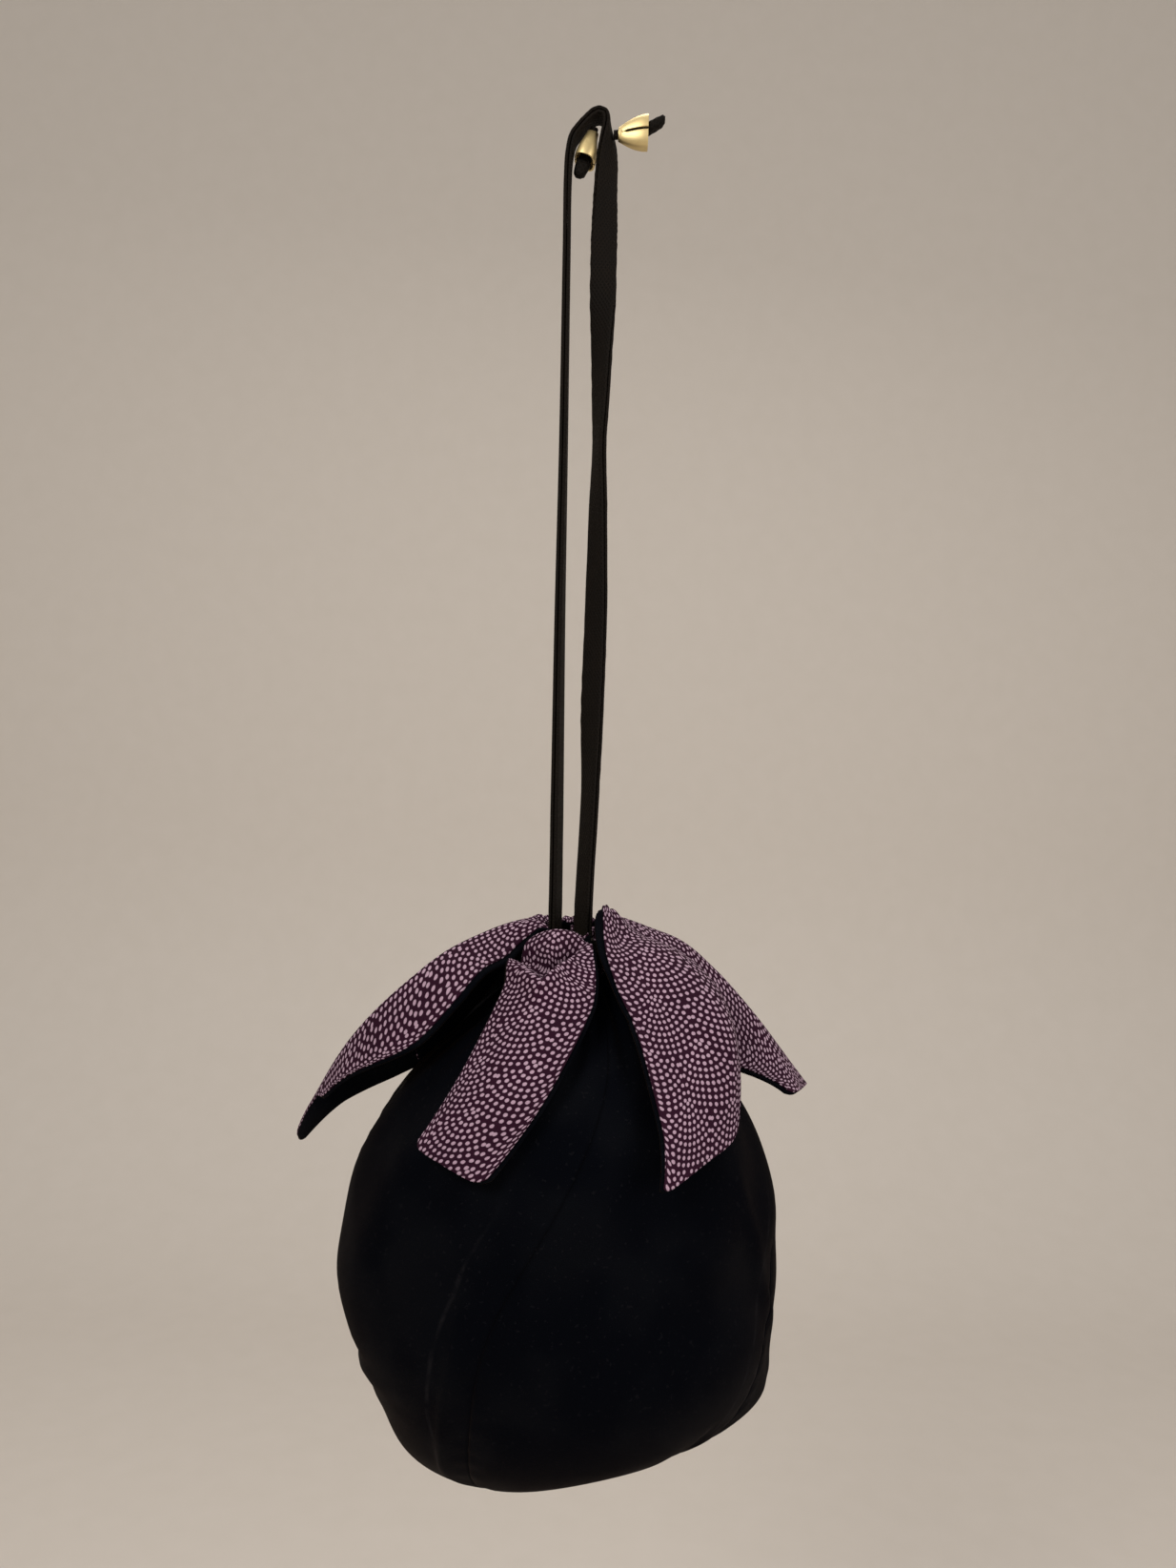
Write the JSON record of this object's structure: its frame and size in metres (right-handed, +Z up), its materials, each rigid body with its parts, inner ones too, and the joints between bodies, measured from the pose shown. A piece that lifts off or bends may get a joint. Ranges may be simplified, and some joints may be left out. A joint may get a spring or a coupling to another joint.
{
  "type": "drawstring bag",
  "caption": "Eggplant-shaped velvet drawstring bag with a gathered mouth, a calyx of lined petals in a dotted print, flat drawstrings that draw it shut, and bell caps on the string ends.",
  "frame": {"origin": "the hang point, under the arch that the two drawstrings make over whatever holds them", "axes": "+Z up along the hanging drawstrings, -Y out of the front of the bag, +X to the right seen from the front"},
  "size_m": [0.2124, 0.165, 0.5691],
  "materials": {
    "velvet": "black cut-pile velvet",
    "lining": "black plain-weave lining",
    "print": "plum cloth with a fine dotted fan print",
    "strap": "black woven flat braid",
    "brass": "satin gold-coloured metal"
  },
  "bodies": {
    "drawstrings": {"left_drawstring_loop": "strap", "right_drawstring_loop": "strap", "left_drawstring_tail": "strap", "right_drawstring_tail": "strap"},
    "bag": {"gore_1": "velvet", "gore_2": "velvet", "gore_3": "velvet", "gore_4": "velvet", "lining_left": "lining", "lining_right": "lining"},
    "mouth_left": {"collar_left": "print", "left_drawstring_channel": "strap", "gore_1_gather": "velvet", "gore_2_gather": "velvet", "lining_left_gather": "lining"},
    "mouth_right": {"collar_right": "print", "right_drawstring_channel": "strap", "gore_3_gather": "velvet", "gore_4_gather": "velvet", "lining_right_gather": "lining"},
    "petal_1": {"petal_1_print": "print", "petal_1_lining": "velvet"},
    "petal_2": {"petal_2_print": "print", "petal_2_lining": "velvet"},
    "petal_3": {"petal_3_print": "print", "petal_3_lining": "velvet"},
    "petal_4": {"petal_4_print": "print", "petal_4_lining": "velvet"},
    "petal_5": {"petal_5_print": "print", "petal_5_lining": "velvet"},
    "petal_6": {"petal_6_print": "print", "petal_6_lining": "velvet"},
    "cap_left": {"left_cap": "brass"},
    "cap_right": {"right_cap": "brass"}
  },
  "joints": [
    {"name": "draw", "type": "slide", "parent": "drawstrings", "child": "bag", "axis": [0, 0, 1], "range_m": [0, 0.044]},
    {"name": "mouth_left_open", "type": "slide", "parent": "bag", "child": "mouth_left", "axis": [-0.9077, -0.3304, 0.2588], "range_m": [0, 0.022]},
    {"name": "mouth_right_open", "type": "slide", "parent": "bag", "child": "mouth_right", "axis": [0.9077, 0.3304, 0.2588], "range_m": [0, 0.022]},
    {"name": "petal_1_lift", "type": "hinge", "parent": "mouth_left", "child": "petal_1", "pos_m": [-0.01292, -0.00658, -0.3404], "axis": [-0.454, 0.891, 0], "range_deg": [0, 60]},
    {"name": "petal_2_lift", "type": "hinge", "parent": "mouth_left", "child": "petal_2", "pos_m": [-0.00076, -0.01448, -0.3404], "axis": [-0.9986, 0.0523, 0], "range_deg": [0, 60]},
    {"name": "petal_3_lift", "type": "hinge", "parent": "mouth_right", "child": "petal_3", "pos_m": [0.01216, -0.0079, -0.3404], "axis": [-0.5446, -0.8387, 0], "range_deg": [0, 60]},
    {"name": "petal_4_lift", "type": "hinge", "parent": "mouth_right", "child": "petal_4", "pos_m": [0.01292, 0.00658, -0.3404], "axis": [0.454, -0.891, 0], "range_deg": [0, 60]},
    {"name": "petal_5_lift", "type": "hinge", "parent": "mouth_right", "child": "petal_5", "pos_m": [0.00076, 0.01448, -0.3404], "axis": [0.9986, -0.0523, 0], "range_deg": [0, 60]},
    {"name": "petal_6_lift", "type": "hinge", "parent": "mouth_left", "child": "petal_6", "pos_m": [-0.01216, 0.0079, -0.3404], "axis": [0.5446, 0.8387, 0], "range_deg": [0, 60]},
    {"name": "left_cap_slide", "type": "slide", "parent": "drawstrings", "child": "cap_left", "axis": [0.2496, 0, 0.9684], "range_m": [0, 0.0015]},
    {"name": "right_cap_slide", "type": "slide", "parent": "drawstrings", "child": "cap_right", "axis": [-0.995, 0, -0.1], "range_m": [0, 0.0015]}
  ],
  "couplings": [
    {"joint": "mouth_left_open", "follows": "draw", "ratio": 0.5},
    {"joint": "mouth_right_open", "follows": "draw", "ratio": 0.5}
  ]
}
